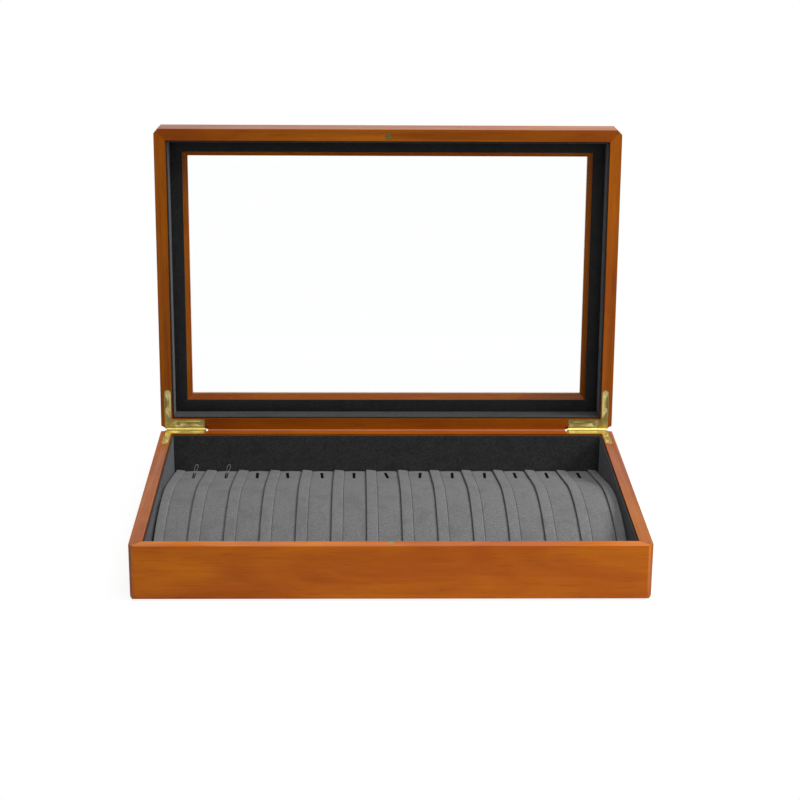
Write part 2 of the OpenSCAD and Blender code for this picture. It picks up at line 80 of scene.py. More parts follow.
class NodeBoard:
    """Node tree of a material or a world, with short ways to add and join nodes."""

    def __init__(self, name: str, world: bool = False) -> None:
        """Starts an empty material or world.

        Args:
            name: Its name.
            world: Whether it is a world.
        """
        self.owner = bpy.data.worlds.new(name) if world else bpy.data.materials.new(name)
        self.owner.use_nodes = True
        self.tree = self.owner.node_tree
        self.tree.nodes.clear()
        self.output = self.add("ShaderNodeOutputWorld" if world else "ShaderNodeOutputMaterial")

    def add(self, kind: str, **settings: object) -> bpy.types.Node:
        """Adds a node and sets its options.

        Args:
            kind: Type name of the node.
            **settings: Options of the node by name.

        Returns:
            The new node.
        """
        node = self.tree.nodes.new(kind)
        for option, value in settings.items():
            setattr(node, option, value)
        return node

    def feed(self, socket: Socket, value: object) -> None:
        """Links a socket to another, or sets its value.

        Args:
            socket: Input socket to fill.
            value: An output socket, a node for its first output, a number or a colour.
        """
        if isinstance(value, bpy.types.Node):
            value = value.outputs[0]
        if isinstance(value, Socket):
            self.tree.links.new(value, socket)
        elif isinstance(value, (tuple, list)) and len(value) == 3 and socket.type == "RGBA":
            socket.default_value = (*value, 1.0)
        else:
            socket.default_value = value

    def make(self, kind: str, **inputs: object) -> bpy.types.Node:
        """Adds a node and fills its inputs by name.

        Args:
            kind: Type name of the node.
            **inputs: Values by the input's name, with underscores for spaces.

        Returns:
            The new node.
        """
        node = self.add(kind)
        for name, value in inputs.items():
            self.feed(node.inputs[name.replace("_", " ")], value)
        return node

    def join(self, kind: str, *inputs: object, **settings: object) -> Socket:
        """Adds a node and fills its inputs in their order.

        Args:
            kind: Type name of the node.
            *inputs: Values of its first inputs.
            **settings: Options of the node by name.

        Returns:
            The node's first output.
        """
        node = self.add(kind, **settings)
        for socket, value in zip(node.inputs, inputs):
            self.feed(socket, value)
        return node.outputs[0]

    def place(self, rotation: Sequence[float] = (0, 0, 0), shift: Sequence[float] = (0, 0, 0)) -> Socket:
        """Gives the piece's own coordinates, turned and shifted.

        Args:
            rotation: Turn about X, Y and Z in radians.
            shift: Shift along X, Y and Z in metres.

        Returns:
            Vector socket.
        """
        own = self.add("ShaderNodeTexCoord").outputs["Object"]
        mapping = self.make("ShaderNodeMapping", Vector=own, Rotation=rotation, Location=shift)
        return mapping.outputs["Vector"]

    def noise(
        self,
        vector: Socket,
        scale: float,
        detail: float = 3.0,
        roughness: float = 0.5,
        distortion: float = 0.0,
    ) -> Socket:
        """Adds a noise pattern.

        Args:
            vector: Coordinates to read.
            scale: Number of features to the metre.
            detail: Octaves of finer pattern.
            roughness: Strength of the finer pattern.
            distortion: How far the pattern is bent.

        Returns:
            Value socket from about 0.3 to 0.7.
        """
        node = self.make(
            "ShaderNodeTexNoise",
            Vector=vector,
            Scale=scale,
            Detail=detail,
            Roughness=roughness,
            Distortion=distortion,
        )
        return node.outputs["Fac"]

    def streaks(self, vector: Socket, features: Sequence[float], **pattern: float) -> Socket:
        """Adds a noise pattern that is finer along one way than another.

        Args:
            vector: Coordinates to read.
            features: Number of features to the metre along X, Y and Z.
            **pattern: Detail, roughness and distortion, as for noise.

        Returns:
            Value socket from about 0.3 to 0.7.
        """
        stretched = self.join("ShaderNodeVectorMath", vector, features, operation="MULTIPLY")
        return self.noise(stretched, 1.0, **pattern)

    def fit(self, value: Socket, low: float, high: float, to: Sequence[float] = (0.0, 1.0)) -> Socket:
        """Maps a value from one range to another, smoothly, and keeps it inside.

        Args:
            value: Value to map.
            low: Value that becomes the first of to.
            high: Value that becomes the second of to.
            to: The new range.

        Returns:
            Value socket.
        """
        return self.join(
            "ShaderNodeMapRange", value, low, high, *to, interpolation_type="SMOOTHSTEP"
        )

    def blend(self, first: object, second: object, share: object, way: str = "MIX") -> Socket:
        """Blends two colours.

        Args:
            first: Colour or socket underneath.
            second: Colour or socket on top.
            share: Strength of the second.
            way: Blend type.

        Returns:
            Colour socket.
        """
        node = self.add("ShaderNodeMix", data_type="RGBA", blend_type=way)
        for socket, value in ((MIX_SHARE, share), (MIX_FIRST, first), (MIX_SECOND, second)):
            self.feed(node.inputs[socket], value)
        return node.outputs[MIX_RESULT]

    def sum(self, first: object, second: object, operation: str = "ADD") -> Socket:
        """Joins two values with a sum, a product or another operation."""
        return self.join("ShaderNodeMath", first, second, operation=operation)

    def relief(self, height: Socket, depth: float, strength: float) -> Socket:
        """Turns a height pattern into a surface relief.

        Args:
            height: Value socket, 1 at the top of the relief.
            depth: Height of the relief in metres.
            strength: Share of the relief that shows.

        Returns:
            Normal socket.
        """
        return self.make("ShaderNodeBump", Height=height, Distance=depth, Strength=strength).outputs["Normal"]

    def seen(self) -> Socket:
        """Gives 1 for rays that show the room: seen straight, in gloss or through glass."""
        rays = self.add("ShaderNodeLightPath").outputs
        direct = self.sum(rays["Is Camera Ray"], rays["Is Glossy Ray"], "MAXIMUM")
        return self.sum(direct, rays["Is Transmission Ray"], "MAXIMUM")

    def mix(self, share: object, first: object, second: object) -> Socket:
        """Mixes two shaders, with the share of the second."""
        return self.join("ShaderNodeMixShader", share, first, second)

    def show(self, shader: object) -> None:
        """Joins a shader to the output."""
        self.feed(self.output.inputs["Surface"], shader)

    def surface(self, **values: object) -> None:
        """Shows the main shader, with its inputs by name and underscores for spaces."""
        self.show(self.make("ShaderNodeBsdfPrincipled", **values))


@dataclass(frozen=True)
class LacqueredWood:
    """Orange-brown satin lacquer over fine straight-grained wood.

    Attributes:
        name: Name of the board.
        grain: Way that the grain runs.
        lean: Lean of the open lid in radians, 0 on the base.
        shift: Place of the board in the figure, so that no two boards match.
        tone_and_painted_light: Brightness of the board's stain, set board by board; on the front board it is raised
            well above the rest as painted light from the front.
        amber: Lighter colour of the stain.
        russet: Darker colour of the stain.
        pore: Colour of the fine dark streaks.
        gloss: Roughness of the smoothest and the dullest places.
    """

    name: str
    grain: Grain
    lean: float
    shift: Triple
    tone_and_painted_light: float = 1.0
    amber: Triple = (0.540, 0.148, 0.004)
    russet: Triple = (0.380, 0.076, 0.004)
    pore: Triple = (0.200, 0.036, 0.004)
    gloss: tuple[float, float] = (0.30, 0.40)

    def turn(self) -> Triple:
        """Gives the turn that brings the grain along X."""
        if self.grain is Grain.DEEP:
            return (0.0, 0.0, -math.pi / 2)
        if self.grain is Grain.UPRIGHT:
            return (self.lean, math.pi / 2, 0.0)
        return (self.lean, 0.0, 0.0)

    def material(self) -> bpy.types.Material:
        """Builds the finish.

        Returns:
            The material.
        """
        board = NodeBoard(self.name)
        at = board.place(self.turn(), self.shift)
        clouds = board.streaks(at, (9.0, 30.0, 30.0), distortion=0.6)
        figure = board.streaks(at, (95.0, 14.0, 14.0), detail=2.0)
        bands = board.streaks(at, (6.0, 420.0, 420.0), detail=4.0, roughness=0.6, distortion=0.2)
        fibres = board.streaks(at, (34.0, 1000.0, 1000.0), roughness=0.7)
        stain = board.blend(self.amber, self.russet, board.fit(clouds, 0.28, 0.74))
        stain = board.blend(stain, (0.5,) * 3, board.fit(figure, 0.35, 0.65, (0.0, 0.10)), "SOFT_LIGHT")
        stain = board.blend(stain, self.russet, board.fit(bands, 0.42, 0.66, (0.0, 0.30)))
        stain = board.blend(stain, self.pore, board.fit(fibres, 0.52, 0.74, (0.0, 0.55)))
        # The stain is scaled by the board's brightness, which on the front board is painted light.
        board.surface(
            Base_Color=board.blend(stain, (self.tone_and_painted_light,) * 3, 1.0, "MULTIPLY"),
            Roughness=board.fit(board.sum(bands, fibres), 0.8, 1.2, self.gloss),
            Specular_IOR_Level=0.13,
            Normal=board.relief(board.sum(fibres, bands), 0.06 * MM, 0.35),
        )
        return board.owner


@dataclass(frozen=True)
class Suede:
    """Short-napped cloth with soft mottling.

    Attributes:
        name: Name of the cloth.
        colour: Colour of the nap.
        mottle: Strength of the lighter and darker patches.
        sheen: Strength of the light that the nap catches at a glancing angle.
        sheen_spread: How widely that light is spread.
        lift: How much stronger the lighter patches are than the darker ones.
    """

    name: str
    colour: Triple
    mottle: float
    sheen: float
    sheen_spread: float
    lift: float = 1.6

    def material(self) -> bpy.types.Material:
        """Builds the finish.

        Returns:
            The material.
        """
        board = NodeBoard(self.name)
        at = board.place()
        brushed = board.streaks(at, (70.0, 45.0, 70.0), roughness=0.6, distortion=0.5)
        nap = board.noise(at, 900.0, detail=4.0, roughness=0.75)
        fibres = board.streaks(at, (3200.0, 2100.0, 3200.0), detail=2.0, roughness=0.7)
        light = tuple(min(1.0, c * (1 + self.lift * self.mottle)) for c in self.colour)
        dark = tuple(c * (1 - self.mottle) for c in self.colour)
        cloth = board.blend(dark, light, board.fit(nap, 0.30, 0.70))
        cloth = board.blend(cloth, dark, board.fit(brushed, 0.45, 0.70, (0.0, 0.5)))
        board.surface(
            Base_Color=board.blend(cloth, light, board.fit(fibres, 0.50, 0.80, (0.0, 0.5))),
            Roughness=0.95,
            Specular_IOR_Level=0.08,
            Sheen_Weight=self.sheen,
            Sheen_Roughness=self.sheen_spread,
            Sheen_Tint=(0.9, 0.93, 1.0),
            Normal=board.relief(board.sum(nap, fibres), 0.18 * MM, 0.6),
        )
        return board.owner


@dataclass(frozen=True)
class PolishedBrass:
    """Bright polished brass with faint smears and hairline scratches.

    Attributes:
        name: Name of the metal.
        colour: Colour of the bright metal.
        worn: Colour of the smears.
        shine: Roughness of the bright metal.
        smeared: How much rougher the smears are.
    """

    name: str = "polished_brass"
    colour: Triple = (0.66, 0.55, 0.20)
    worn: Triple = (0.46, 0.35, 0.10)
    shine: float = 0.32
    smeared: float = 0.10

    def material(self) -> bpy.types.Material:
        """Builds the finish.

        Returns:
            The material.
        """
        board = NodeBoard(self.name)
        at = board.place()
        smears = board.noise(at, 260.0, roughness=0.6, distortion=0.8)
        hairs = board.streaks(at, (300.0, 5200.0, 5200.0), detail=2.0, roughness=0.6)
        dulled = (self.shine, self.shine + self.smeared)
        board.surface(
            Base_Color=board.blend(self.colour, self.worn, board.fit(smears, 0.45, 0.75, (0.0, 0.18))),
            Metallic=1.0,
            Roughness=board.fit(board.sum(smears, hairs), 0.8, 1.3, dulled),
            Normal=board.relief(hairs, 0.02 * MM, 0.04),
        )
        return board.owner


@dataclass(frozen=True)
class ClearGlass:
    """Thin clear window glass that lets the lamps through.

    Attributes:
        name: Name of the glass.
        tint: Colour of what is seen through the glass proper.
        thin_tint: Colour of what passes straight through.
        straight: Share that passes straight through, without a reflection.
    """

    name: str = "clear_glass"
    tint: Triple = (0.998, 1.0, 0.999)
    thin_tint: Triple = (0.995, 1.0, 0.998)
    straight: float = 0.92

    def material(self) -> bpy.types.Material:
        """Builds the finish.

        Returns:
            The material.
        """
        board = NodeBoard(self.name)
        smudge = board.noise(board.place(), 22.0, roughness=0.6, distortion=1.0)
        glass = board.make(
            "ShaderNodeBsdfPrincipled",
            Base_Color=self.tint,
            Roughness=board.fit(smudge, 0.45, 0.75, (0.0, 0.02)),
            IOR=1.5,
            Specular_IOR_Level=0.02,
            Transmission_Weight=1.0,
        )
        clear = board.make("ShaderNodeBsdfTransparent", Color=self.thin_tint)
        rays = board.add("ShaderNodeLightPath").outputs
        soft = board.sum(rays["Is Shadow Ray"], rays["Is Diffuse Ray"], "MAXIMUM")
        board.show(board.mix(board.fit(soft, 0.0, 1.0, (self.straight, 1.0)), glass, clear))
        return board.owner


@dataclass(frozen=True)
class PlainFinish:
    """Simple finish with a soft mottling, for what is small or out of sight.

    Attributes:
        name: Name of the finish.
        colour: Main colour.
        other: Colour of the mottling.
        scale: Features of the mottling to the metre.
        roughness: Roughness at its least.
        metallic: 1 for metal.
        relief: Height of the surface relief in metres.
        dulled: How much rougher the mottling makes it at most.
    """

    name: str
    colour: Triple
    other: Triple
    scale: float
    roughness: float
    metallic: float = 0.0
    relief: float = 0.05 * MM
    dulled: float = 0.12

    def material(self) -> bpy.types.Material:
        """Builds the finish.

        Returns:
            The material.
        """
        board = NodeBoard(self.name)
        pattern = board.noise(board.place(), self.scale, detail=4.0, roughness=0.65, distortion=0.3)
        roughest = min(1.0, self.roughness + self.dulled)
        board.surface(
            Base_Color=board.blend(self.colour, self.other, board.fit(pattern, 0.35, 0.68)),
            Roughness=board.fit(pattern, 0.3, 0.7, (self.roughness, roughest)),
            Metallic=self.metallic,
            Normal=board.relief(pattern, self.relief, 0.5),
        )
        return board.owner


@dataclass(frozen=True)
class LidPose:
    """Where the lid stands open: a turn about the hinge line.

    Attributes:
        axis_y: Place of the hinge line, front to back.
        axis_z: Height of the hinge line above the table.
        half_gap: Half the gap between the closed rims.
        lean: How far the open lid leans back past upright, in radians.
    """

    axis_y: float = 120 * MM
    axis_z: float = 41.2 * MM
    half_gap: float = 0.2 * MM
    lean: float = math.radians(2.8)

    def matrix(self) -> Matrix:
        """Gives the move from the lid's closed frame, rim at height 0, to where it stands."""
        pivot = Matrix.Translation((0, self.axis_y, self.axis_z))
        turn = Matrix.Rotation(-(math.pi / 2 + self.lean), 4, "X")
        return pivot @ turn @ Matrix.Translation((0, -self.axis_y, self.half_gap))

    def closed(self, point: Vector) -> Vector:
        """Gives a point's place in the lid's closed frame."""
        return self.matrix().inverted() @ point


LID_POSE = LidPose()


def dress(node: str, material: bpy.types.Material) -> None:
    """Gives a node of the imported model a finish.

    Args:
        node: Name of the node.
        material: Its finish.
    """
    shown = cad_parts[node]
    if not shown.material_slots:
        shown.data.materials.append(material)
    for slot in shown.material_slots:
        slot.link = "OBJECT"
        slot.material = material


def add_object(name: str, data: bpy.types.ID) -> bpy.types.Object:
    """Makes an object and adds it to the scene.

    Args:
        name: Its name.
        data: Its mesh, curve, lamp or camera.

    Returns:
        The new object.
    """
    made = bpy.data.objects.new(name, data)
    bpy.context.scene.collection.objects.link(made)
    return made


def add_mesh(mesh: bmesh.types.BMesh, name: str, material: bpy.types.Material) -> bpy.types.Object:
    """Makes an object from a finished mesh and adds it to the scene.

    Args:
        mesh: The mesh; it is freed.
        name: Name of the object.
        material: Its finish.

    Returns:
        The new object.
    """
    data = bpy.data.meshes.new(name)
    mesh.to_mesh(data)
    mesh.free()
    data.materials.append(material)
    return add_object(name, data)


def put_in(
    mesh: bmesh.types.BMesh,
    name: str,
    body: Body,
    material: bpy.types.Material,
    replaces: Iterable[str],
    sharp: float = math.radians(32),
    flat_over: float = 12e-6,
    inside: bpy.types.Material | None = None,
) -> bpy.types.Object:
    """Makes a piece from a finished mesh and joins it to its body.

    Args:
        mesh: The piece's mesh, in place; it is freed.
        name: Name of the piece.
        body: Body that it rides on.
        material: Its finish.
        replaces: Nodes that it stands for.
        sharp: Angle past which an edge stays sharp.
        flat_over: Area in square metres past which a face is shaded flat.
        inside: Finish of the faces marked 1.

    Returns:
        The new object.
    """
    for face in mesh.faces:
        face.smooth = face.calc_area() < flat_over
    piece = add_mesh(mesh, name, material)
    data = piece.data
    data.set_sharp_from_angle(angle=sharp)
    if inside is not None:
        data.materials.append(inside)
    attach(piece, body.value)
    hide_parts(*replaces)
    LOG.info("%s: %d faces on %s", name, len(data.polygons), body.value)
    return piece


def merged_copy(node: str) -> bmesh.types.BMesh:
    """Copies a node's mesh, merges its loose triangles and dissolves flat faces.

    Args:
        node: Name of the node.

    Returns:
        The copy.
    """
    mesh = bmesh.new()
    mesh.from_mesh(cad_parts[node].data)
    bmesh.ops.remove_doubles(mesh, verts=mesh.verts, dist=MERGE_DISTANCE)
    bmesh.ops.dissolve_limit(
        mesh,
        angle_limit=FLAT_ANGLE,
        verts=mesh.verts,
        edges=mesh.edges,
        use_dissolve_boundaries=False,
    )
    return mesh


def soften(
    mesh: bmesh.types.BMesh, edges: Sequence[bmesh.types.BMEdge], radius: float, segments: int = 3
) -> None:
    """Rounds chosen edges.

    Args:
        mesh: Mesh to change.
        edges: Edges to round.
        radius: Width of the rounding.
        segments: Faces across the rounding.
    """
    bmesh.ops.bevel(
        mesh,
        geom=list(edges),
        offset=radius,
        offset_type="OFFSET",
        affect="EDGES",
        segments=segments,
        profile=0.5,
        clamp_overlap=True,
        material=-1,
    )


def sharp_edges(
    mesh: bmesh.types.BMesh,
    wanted: Callable[[bmesh.types.BMEdge], bool] = lambda edge: True,
    least: float = math.radians(25),
) -> list[bmesh.types.BMEdge]:
    """Finds the edges where two faces meet at more than a small angle.

    Args:
        mesh: Mesh to search.
        wanted: Further test of an edge.
        least: Smallest angle between the faces.

    Returns:
        The edges.
    """
    return [
        e
        for e in mesh.edges
        if len(e.link_faces) == 2 and abs(e.calc_face_angle(0.0)) > least and wanted(e)
    ]


def pull(
    mesh: bmesh.types.BMesh, edges: list[bmesh.types.BMEdge], step: Sequence[float]
) -> list[bmesh.types.BMEdge]:
    """Draws faces out of edges.

    Args:
        mesh: Mesh to change.
        edges: Edges to draw out.
        step: How far and which way.

    Returns:
        The new edges at the far side.
    """
    drawn = bmesh.ops.extrude_edge_only(mesh, edges=edges)["geom"]
    fresh = {g for g in drawn if isinstance(g, bmesh.types.BMVert)}
    bmesh.ops.translate(mesh, verts=list(fresh), vec=step)
    return [g for g in drawn if isinstance(g, bmesh.types.BMEdge) and fresh.issuperset(g.verts)]


@dataclass
class WoodenFrame:
    """Four mitred boards, of the base or of the lid, with softened arrises.

    Attributes:
        body: Body that the boards belong to.
        boards: Node, new name and finish of each board.
        width: Outer width of the case.
        depth: Outer depth of the case.
        rim: Height of the rim in the frame's own closed place.
        arris: Rounding of the rim's edges.
        arris_least: Length past which an edge of the rim is rounded.
        corner_arris: Rounding of the edges beside the corner cuts.
        corner_least: Height past which an edge beside a corner cut is rounded.
        corner_steps: Faces across that rounding.
        touch: How far off a plane a point still counts as on it.
        seat: How far the lid's back board is let down onto the base's, where no light shows between them.
    """

    body: Body
    boards: list[tuple[str, str, LacqueredWood]]
    width: float = 360 * MM
    depth: float = 240 * MM
    rim: float = 41 * MM
    arris: float = 0.6 * MM
    arris_least: float = 0.25 * MM
    corner_arris: float = 1.1 * MM
    corner_least: float = 15 * MM
    corner_steps: int = 4
    touch: float = 0.02 * MM
    seat: float = 0.15 * MM

    def own(self, point: Vector) -> Vector:
        """Gives a point's place with the lid closed."""
        return LID_POSE.closed(point) if self.body is Body.LID else point

    def on_mitre(self, face: bmesh.types.BMFace) -> bool:
        """Tells whether a face is one that meets the next board."""
        places = [self.own(v.co) for v in face.verts]
        across = [(self.width / 2 - abs(p.x)) - (self.depth / 2 - abs(p.y)) for p in places]
        return max(abs(a) for a in across) < self.touch

    def at_back(self, point: Vector) -> bool:
        """Tells whether a point lies on the case's outer back face."""
        return self.own(point).y > self.depth / 2 - self.touch

    def upright(self, edge: bmesh.types.BMEdge) -> bool:
        """Tells whether an edge runs up the outside of the case beside a corner cut."""
        first, last = (self.own(v.co) for v in edge.verts)
        level = math.hypot(first.x - last.x, first.y - last.y)
        outside = max(abs(first.x) - self.width / 2, abs(first.y) - self.depth / 2)
        tall = abs(first.z - last.z) > self.corner_least
        return level < self.touch and tall and abs(outside) < self.touch

    def around_rim(self, edge: bmesh.types.BMEdge) -> bool:
        """Tells whether an edge bounds the rim and is long enough to round."""
        if any(self.on_mitre(f) for f in edge.link_faces):
            return False
        if all(self.at_back(v.co) for v in edge.verts):
            return False
        long_enough = edge.calc_length() > self.arris_least
        return long_enough and all(abs(self.own(v.co).z - self.rim) < self.touch for v in edge.verts)

    def let_down(self, mesh: bmesh.types.BMesh) -> None:
        """Thickens the lid's back board on its outside, so that it meets the base."""
        outside = [v for v in mesh.verts if self.at_back(v.co)]
        down = LID_POSE.matrix().to_3x3() @ Vector((0, self.seat, 0))
        bmesh.ops.translate(mesh, verts=outside, vec=down)

    def build(self) -> None:
        """Makes the four boards."""
        for node, name, finish in self.boards:
            mesh = merged_copy(node)
            soften(mesh, sharp_edges(mesh, self.upright), self.corner_arris, self.corner_steps)
            soften(mesh, sharp_edges(mesh, self.around_rim), self.arris)
            if node == "lid_back_rail":
                self.let_down(mesh)
            put_in(mesh, name, self.body, finish.material(), [node])


@dataclass
class LiningCards:
    """Cards wrapped in suede that line the base and the lid, and the felt below.

    Attributes:
        wrap: Rounding where the cloth turns over a card's edge.
        wrap_steps: Faces across that rounding.
        long_edge: Length past which an edge is divided.
        cuts: Number of cuts in such an edge.
        uneven: Height of the cloth's unevenness.
        swells: Share and features to the metre of each part of the unevenness.
        sharp: Angle past which an edge of a card stays sharp.
        felt_edge: Rounding of the felt's edges.
        felt_least: Length past which an edge of the felt is rounded.
        felt_steps: Faces across that rounding.
        lining: Cloth of the cards.
        deep: Cloth of the frame round the window: the cards' cloth made darker as painted shade.
        felt: Cloth below the base.
    """

    wrap: float = 0.5 * MM
    wrap_steps: int = 4
    long_edge: float = 12 * MM
    cuts: int = 23
    uneven: float = 0.03 * MM
    swells: tuple[tuple[float, float], ...] = ((1.0, 30.0), (0.3, 120.0))
    sharp: float = math.radians(60)
    felt_edge: float = 0.25 * MM
    felt_least: float = 5 * MM
    felt_steps: int = 2
    lining: Suede = field(
        default_factory=lambda: Suede("charcoal_suede", (0.047, 0.047, 0.048), 0.34, 0.25, 0.35)
    )
    deep: Suede = field(
        default_factory=lambda: Suede("window_suede_painted_shade", (0.026, 0.026, 0.027), 0.30, 0.12, 0.35)
    )
    felt: Suede = field(
        default_factory=lambda: Suede("black_felt", (0.018, 0.018, 0.019), 0.35, 0.15, 0.6)
    )

    def card(self, node: str, body: Body, material: bpy.types.Material) -> None:
        """Makes one wrapped card.

        Args:
            node: Node that it stands for.
            body: Body that it rides on.
            material: Its cloth.
        """
        mesh = merged_copy(node)
        soften(mesh, sharp_edges(mesh), self.wrap, self.wrap_steps)
        long_ones = [e for e in mesh.edges if e.calc_length() > self.long_edge]
        bmesh.ops.subdivide_edges(mesh, edges=long_ones, cuts=self.cuts, use_grid_fill=True)
        for vertex in mesh.verts:
            swell = sum(share * noise.noise(vertex.co * scale) for share, scale in self.swells)
            vertex.co += vertex.normal * swell * self.uneven
        put_in(mesh, f"{node}_cloth", body, material, [node], self.sharp, math.inf)

    def build(self) -> None:
        """Makes every card, the window's frame and the felt."""
        material = self.lining.material()
        for side in ("front", "back", "left", "right"):
            self.card(f"base_liner_{side}", Body.BASE, material)
            self.card(f"lid_liner_{side}", Body.LID, material)
        window = merged_copy("window_liner")
        soften(window, sharp_edges(window), self.wrap)
        deep = self.deep.material()
        put_in(window, "window_liner_cloth", Body.LID, deep, ["window_liner"], self.sharp)
        felt = merged_copy("base_felt")
        around = sharp_edges(felt, lambda edge: edge.calc_length() > self.felt_least)
        soften(felt, around, self.felt_edge, self.felt_steps)
        put_in(felt, "base_felt_cloth", Body.BASE, self.felt.material(), ["base_felt"])


@dataclass(frozen=True)
class Creases:
    """Faint creases across a channel in front of its slit, measured in millimetres.

    Attributes:
        count: Number of creases.
        first: Distance of the first one from the slit.
        step: Distance from one to the next.
        wander: How far a crease strays from a straight line.
        waviness: Features of its course to the metre.
        width: Half its width.
        least: Least depth.
        extra: How much deeper it can be.
        scatter: Where the depths are read in the noise: step by channel, step by crease, and place.
    """

    count: int = 3
    first: float = 6.0
    step: float = 8.0
    wander: float = 2.5
    waviness: float = 120.0
    width: float = 2.2
    least: float = 0.02
    extra: float = 0.12
    scatter: Triple = (1.7, 2.3, 0.5)

    def depths(self, point: Vector, slit_front: float, seed: float) -> Iterator[float]:
        """Gives how deep each crease is at a point.

        Args:
            point: Point of the cloth.
            slit_front: Place of the slit's front end, front to back.
            seed: Place in the pattern.

        Yields:
            Depth in millimetres.
        """
        by_channel, by_crease, fixed = self.scatter
        for k in range(self.count):
            start = slit_front - (self.first + self.step * k) * MM
            wander = self.wander * MM * noise.noise(Vector((point.x * self.waviness, seed + k, 0)))
            drawn = abs(noise.noise(Vector((seed * by_channel, k * by_crease, fixed))))
            away = (point.y - start - wander) / (self.width * MM)
            yield (self.extra * drawn + self.least) * math.exp(-(away**2))


@dataclass
class RingTray:
    """Crowned tray of soft channels with a slit each, and soft ribs between them.

    Attributes:
        crest: Height of the crest above the table.
        crest_y: Place of the crest, front to back.
        arch: Radius of the arch at the top of the pads.
        back_height: Height of the channels at the back.
        half_depth: Half the tray's depth.
        pad: Thickness of the channel pads.
        pad_shoulders: Rounding of a pad's left and right shoulders.
        pad_crown: How much lower a pad is at its shoulders.
        rise: How far the ribs stand above the pads.
        rib_shoulders: Rounding of a rib's left and right shoulders.
        rib_crown: How much lower a rib is at its shoulders.
        rib_fall: How much a rib drops from left to right.
        slit_y: Middle of the slits, front to back.
        slit_length: Length of a slit.
        slit_width: Width of a slit.
        drifts: How far each slit strays to the right of the middle of its channel, in millimetres.
        skews: Turn of each slit in degrees, since they are cut by hand.
        arch_steps: Rings along the arch.
        slope_steps: Rings down the slope behind it.
        shoulder_steps: Faces round a shoulder.
        crown_steps: Faces between the shoulders.
        side_gap: How far the outermost ribs keep off the cards beside them.
        sharp: Angle past which an edge of a pad or rib stays sharp.
        still: Share of the pads' thickness that the cloth's unevenness leaves alone.
        swells: Height in millimetres and features to the metre of each part of the unevenness.
        seed_step: Distance in the unevenness from one strip to the next.
        rib_seed: Number of the ribs' place in the unevenness, past the pads'.
        creases: Creases in front of a slit.
        grey: Colour of the cloth.
    """

    crest: float = 33.4 * MM
    crest_y: float = -16 * MM
    arch: float = 218 * MM
    back_height: float = 10 * MM
    half_depth: float = 109 * MM
    pad: float = 3 * MM
    pad_shoulders: tuple[float, float] = (0.35 * MM, 1.0 * MM)
    pad_crown: float = 0.30 * MM
    rise: float = 1.2 * MM
    rib_shoulders: tuple[float, float] = (0.6 * MM, 1.3 * MM)
    rib_crown: float = 0.15 * MM
    rib_fall: float = 0.65 * MM
    slit_y: float = 83 * MM
    slit_length: float = 33 * MM
    slit_width: float = 2.3 * MM
    drifts: tuple[float, ...] = (0.5, 0.5, -0.6, -2.2, -0.6, -0.9, -0.7, 0.2, 0.2, 0.3, -1.1, -1.5, -1.6)
    skews: tuple[float, ...] = (2.5, 2, 2.1, 3.2, 2, 0.4, 3, -2.5, -2.1, -2.6, -1.1, -2.2, -1.7)
    arch_steps: int = 90
    slope_steps: int = 48
    shoulder_steps: int = 5
    crown_steps: int = 8
    side_gap: float = 0.9 * MM
    sharp: float = math.radians(50)
    still: float = 0.45
    swells: tuple[tuple[float, float], ...] = ((0.13, 48.0), (0.05, 150.0))
    seed_step: float = 3.1
    rib_seed: float = 40.0
    creases: Creases = Creases()
    grey: Triple = (0.178, 0.178, 0.179)

    def centre(self) -> Vector:
        """Gives the axis of the arch."""
        return Vector((0, self.crest_y, self.crest - self.arch))

    def slope(self) -> float:
        """Gives the fall of the straight stretch behind the arch, in radians."""
        run = self.half_depth - self.crest_y
        level = self.back_height - self.centre().z
        return math.atan2(run, level) - math.acos(self.arch / math.hypot(run, level))

    def downhill(self) -> Vector:
        """Gives the direction of the slope towards the back."""
        return Vector((0, math.cos(self.slope()), -math.sin(self.slope())))

    def at_slit(self, x: float, skew: float = 0.0) -> Matrix:
        """Gives the place of a slit on the slope.

        Args:
            x: Middle of the slit, left to right.
            skew: Turn of the slit in radians.

        Returns:
            Frame with its origin on top of the pad and its height square to the slope.
        """
        slope = self.slope()
        along = (self.slit_y - self.crest_y - self.arch * math.sin(slope)) / math.cos(slope)
        place = Matrix.Translation(self.centre()) @ Matrix.Rotation(-slope, 4, "X")
        return place @ Matrix.Translation((x, along, self.arch)) @ Matrix.Rotation(skew, 4, "Z")

    def slit_x(self, channel: int) -> float:
        """Gives the middle of a channel's slit, left to right."""
        low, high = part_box(f"channel_pad_{channel:02d}")
        return (low.x + high.x) / 2 + self.drifts[channel - 1] * MM

    def section(
        self, span: tuple[float, float], top: float, shoulders: tuple[float, float], crown: float, fall: float = 0.0
    ) -> list[tuple[float, float]]:
        """Gives the soft outline of a pad or rib.

        Args:
            span: Left and right side of the piece.
            top: Radius of the arch at its highest.
            shoulders: Rounding of its left and right shoulders.
            crown: How much lower the top is at its shoulders.
            fall: How much the top drops from left to right.

        Returns:
            Points as (place across, radius), from the left foot over the top to the right foot.
        """
        foot = self.arch - self.pad
        low, high = span
        left, right = shoulders

        def level(x: float) -> float:
            part = (x - low) / (high - low)
            return top - crown * (2 * part - 1) ** 2 - fall * part

        def shoulder(middle: float, radius: float, start: float) -> list[tuple[float, float]]:
            turns = [start - i * math.pi / (2 * self.shoulder_steps) for i in range(self.shoulder_steps + 1)]
            height = level(middle) - radius
            return [(middle + radius * math.cos(t), height + radius * math.sin(t)) for t in turns]

        between = high - low - left - right
        crest = [low + left + between * i / self.crown_steps for i in range(1, self.crown_steps)]
        return [
            (low, foot),
            *shoulder(low + left, left, math.pi),
            *((x, level(x)) for x in crest),
            *shoulder(high - right, right, math.pi / 2),
            (high, foot),
        ]

